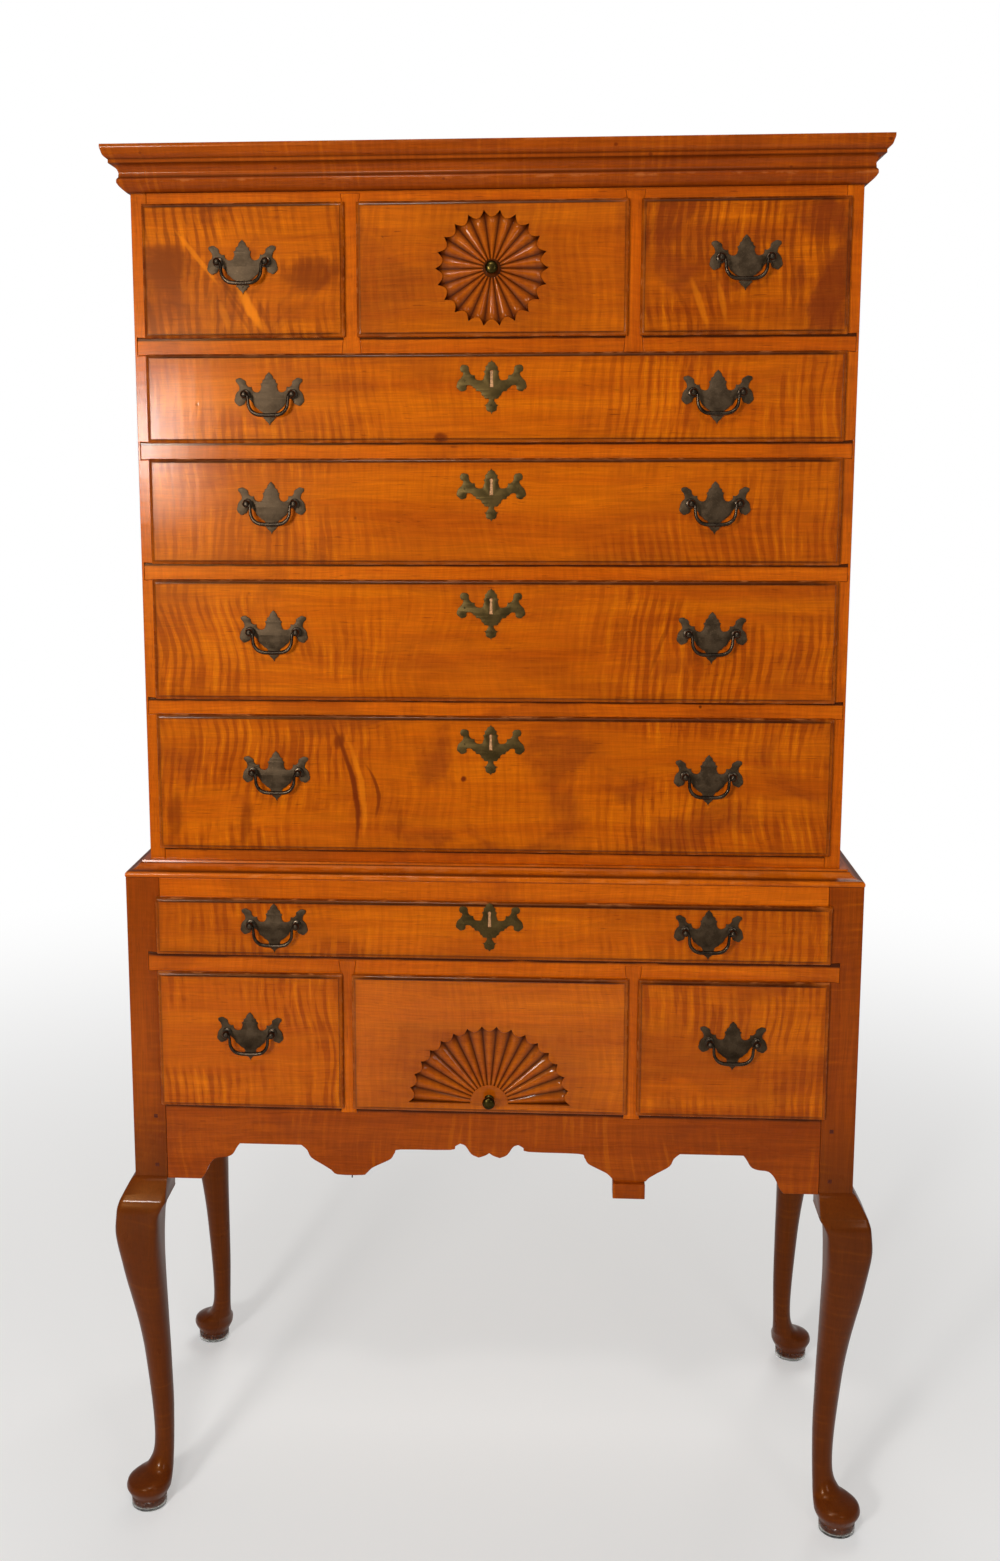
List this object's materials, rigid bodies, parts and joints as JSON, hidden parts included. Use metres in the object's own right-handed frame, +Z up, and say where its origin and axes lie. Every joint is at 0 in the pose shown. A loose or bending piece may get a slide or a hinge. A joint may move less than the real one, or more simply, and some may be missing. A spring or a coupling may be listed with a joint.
{
  "type": "highboy",
  "caption": "Tall chest on a stand: lipped drawers with bail pulls, carved pinwheel and fan, scrolled apron and cabriole legs on pad feet.",
  "frame": {"origin": "centre of the footprint on the floor", "axes": "+X to the right seen from the front, +Y from the front to the back, +Z up"},
  "size_m": [1.024, 0.515, 1.847],
  "materials": {
    "figured_maple": "varnished, honey orange with tiger figure",
    "plain_maple": "varnished, plain straight grain",
    "dark_maple": "varnished, darker red brown",
    "inside_wood": "unfinished",
    "aged_brass": "aged, dark with rubbed highlights",
    "clear_plastic": "clear moulded glide cups"
  },
  "bodies": {
    "base": {"waist_moulding": "plain_maple", "leg_front_left": "dark_maple", "leg_front_right": "dark_maple", "leg_back_left": "dark_maple", "leg_back_right": "dark_maple", "base_top_frame": "plain_maple", "base_front_frame": "plain_maple", "base_side_left": "plain_maple", "base_side_right": "plain_maple", "base_back": "inside_wood"},
    "chest": {"cornice": "plain_maple", "chest_top_frame": "plain_maple", "chest_side_left": "plain_maple", "chest_side_right": "plain_maple", "chest_back": "inside_wood", "chest_blade_1": "plain_maple", "chest_blade_2": "plain_maple", "chest_blade_3": "plain_maple", "chest_bottom_frame": "plain_maple"},
    "body_drawer_wide_1": {"drawer_wide_1": "figured_maple", "plate_wide_1_left": "aged_brass", "plate_wide_1_right": "aged_brass"},
    "body_drawer_wide_2": {"drawer_wide_2": "figured_maple", "plate_wide_2_left": "aged_brass", "plate_wide_2_right": "aged_brass"},
    "body_drawer_wide_3": {"drawer_wide_3": "figured_maple", "plate_wide_3_left": "aged_brass", "plate_wide_3_right": "aged_brass"},
    "body_drawer_wide_4": {"drawer_wide_4": "figured_maple", "plate_wide_4_left": "aged_brass", "plate_wide_4_right": "aged_brass"},
    "body_drawer_top_left": {"drawer_top_left": "figured_maple", "plate_top_left": "aged_brass"},
    "body_drawer_top_centre": {"drawer_top_centre": "figured_maple", "knob_top": "aged_brass"},
    "body_drawer_top_right": {"drawer_top_right": "figured_maple", "plate_top_right": "aged_brass"},
    "body_drawer_shallow": {"drawer_shallow": "figured_maple", "plate_shallow_left": "aged_brass", "plate_shallow_right": "aged_brass"},
    "body_drawer_deep_left": {"drawer_deep_left": "figured_maple", "plate_deep_left": "aged_brass"},
    "body_drawer_deep_centre": {"drawer_deep_centre": "figured_maple", "knob_deep": "aged_brass"},
    "body_drawer_deep_right": {"drawer_deep_right": "figured_maple", "plate_deep_right": "aged_brass"},
    "body_bail_wide_1_left": {"bail_wide_1_left": "aged_brass"},
    "body_bail_wide_1_right": {"bail_wide_1_right": "aged_brass"},
    "body_bail_wide_2_left": {"bail_wide_2_left": "aged_brass"},
    "body_bail_wide_2_right": {"bail_wide_2_right": "aged_brass"},
    "body_bail_wide_3_left": {"bail_wide_3_left": "aged_brass"},
    "body_bail_wide_3_right": {"bail_wide_3_right": "aged_brass"},
    "body_bail_wide_4_left": {"bail_wide_4_left": "aged_brass"},
    "body_bail_wide_4_right": {"bail_wide_4_right": "aged_brass"},
    "body_bail_top_left": {"bail_top_left": "aged_brass"},
    "body_bail_shallow_left": {"bail_shallow_left": "aged_brass"},
    "body_bail_deep_left": {"bail_deep_left": "aged_brass"},
    "body_bail_top_right": {"bail_top_right": "aged_brass"},
    "body_bail_shallow_right": {"bail_shallow_right": "aged_brass"},
    "body_bail_deep_right": {"bail_deep_right": "aged_brass"}
  },
  "joints": [
    {"name": "lift_chest", "type": "slide", "parent": "base", "child": "chest", "axis": [0, 0, 1], "range_m": [0, 0.06]},
    {"name": "slide_wide_1", "type": "slide", "parent": "chest", "child": "body_drawer_wide_1", "axis": [0, -1, 0], "range_m": [0, 0.3]},
    {"name": "slide_wide_2", "type": "slide", "parent": "chest", "child": "body_drawer_wide_2", "axis": [0, -1, 0], "range_m": [0, 0.3]},
    {"name": "slide_wide_3", "type": "slide", "parent": "chest", "child": "body_drawer_wide_3", "axis": [0, -1, 0], "range_m": [0, 0.3]},
    {"name": "slide_wide_4", "type": "slide", "parent": "chest", "child": "body_drawer_wide_4", "axis": [0, -1, 0], "range_m": [0, 0.3]},
    {"name": "slide_top_left", "type": "slide", "parent": "chest", "child": "body_drawer_top_left", "axis": [0, -1, 0], "range_m": [0, 0.3]},
    {"name": "slide_top_centre", "type": "slide", "parent": "chest", "child": "body_drawer_top_centre", "axis": [0, -1, 0], "range_m": [0, 0.3]},
    {"name": "slide_top_right", "type": "slide", "parent": "chest", "child": "body_drawer_top_right", "axis": [0, -1, 0], "range_m": [0, 0.3]},
    {"name": "slide_shallow", "type": "slide", "parent": "base", "child": "body_drawer_shallow", "axis": [0, -1, 0], "range_m": [0, 0.31]},
    {"name": "slide_deep_left", "type": "slide", "parent": "base", "child": "body_drawer_deep_left", "axis": [0, -1, 0], "range_m": [0, 0.31]},
    {"name": "slide_deep_centre", "type": "slide", "parent": "base", "child": "body_drawer_deep_centre", "axis": [0, -1, 0], "range_m": [0, 0.31]},
    {"name": "slide_deep_right", "type": "slide", "parent": "base", "child": "body_drawer_deep_right", "axis": [0, -1, 0], "range_m": [0, 0.31]},
    {"name": "swing_wide_1_left", "type": "hinge", "parent": "body_drawer_wide_1", "child": "body_bail_wide_1_left", "pos_m": [-0.283, -0.2235, 1.0535], "axis": [-1, 0, 0], "range_deg": [0, 165]},
    {"name": "swing_wide_1_right", "type": "hinge", "parent": "body_drawer_wide_1", "child": "body_bail_wide_1_right", "pos_m": [0.283, -0.2235, 1.0535], "axis": [-1, 0, 0], "range_deg": [0, 165]},
    {"name": "swing_wide_2_left", "type": "hinge", "parent": "body_drawer_wide_2", "child": "body_bail_wide_2_left", "pos_m": [-0.283, -0.2235, 1.239], "axis": [-1, 0, 0], "range_deg": [0, 165]},
    {"name": "swing_wide_2_right", "type": "hinge", "parent": "body_drawer_wide_2", "child": "body_bail_wide_2_right", "pos_m": [0.283, -0.2235, 1.239], "axis": [-1, 0, 0], "range_deg": [0, 165]},
    {"name": "swing_wide_3_left", "type": "hinge", "parent": "body_drawer_wide_3", "child": "body_bail_wide_3_left", "pos_m": [-0.283, -0.2235, 1.40425], "axis": [-1, 0, 0], "range_deg": [0, 165]},
    {"name": "swing_wide_3_right", "type": "hinge", "parent": "body_drawer_wide_3", "child": "body_bail_wide_3_right", "pos_m": [0.283, -0.2235, 1.40425], "axis": [-1, 0, 0], "range_deg": [0, 165]},
    {"name": "swing_wide_4_left", "type": "hinge", "parent": "body_drawer_wide_4", "child": "body_bail_wide_4_left", "pos_m": [-0.283, -0.2235, 1.542], "axis": [-1, 0, 0], "range_deg": [0, 165]},
    {"name": "swing_wide_4_right", "type": "hinge", "parent": "body_drawer_wide_4", "child": "body_bail_wide_4_right", "pos_m": [0.283, -0.2235, 1.542], "axis": [-1, 0, 0], "range_deg": [0, 165]},
    {"name": "swing_top_left", "type": "hinge", "parent": "body_drawer_top_left", "child": "body_bail_top_left", "pos_m": [-0.314, -0.2235, 1.705], "axis": [-1, 0, 0], "range_deg": [0, 165]},
    {"name": "swing_shallow_left", "type": "hinge", "parent": "body_drawer_shallow", "child": "body_bail_shallow_left", "pos_m": [-0.285, -0.2515, 0.854], "axis": [-1, 0, 0], "range_deg": [0, 165]},
    {"name": "swing_deep_left", "type": "hinge", "parent": "body_drawer_deep_left", "child": "body_bail_deep_left", "pos_m": [-0.32, -0.2515, 0.704], "axis": [-1, 0, 0], "range_deg": [0, 165]},
    {"name": "swing_top_right", "type": "hinge", "parent": "body_drawer_top_right", "child": "body_bail_top_right", "pos_m": [0.314, -0.2235, 1.705], "axis": [-1, 0, 0], "range_deg": [0, 165]},
    {"name": "swing_shallow_right", "type": "hinge", "parent": "body_drawer_shallow", "child": "body_bail_shallow_right", "pos_m": [0.285, -0.2515, 0.854], "axis": [-1, 0, 0], "range_deg": [0, 165]},
    {"name": "swing_deep_right", "type": "hinge", "parent": "body_drawer_deep_right", "child": "body_bail_deep_right", "pos_m": [0.32, -0.2515, 0.704], "axis": [-1, 0, 0], "range_deg": [0, 165]}
  ]
}
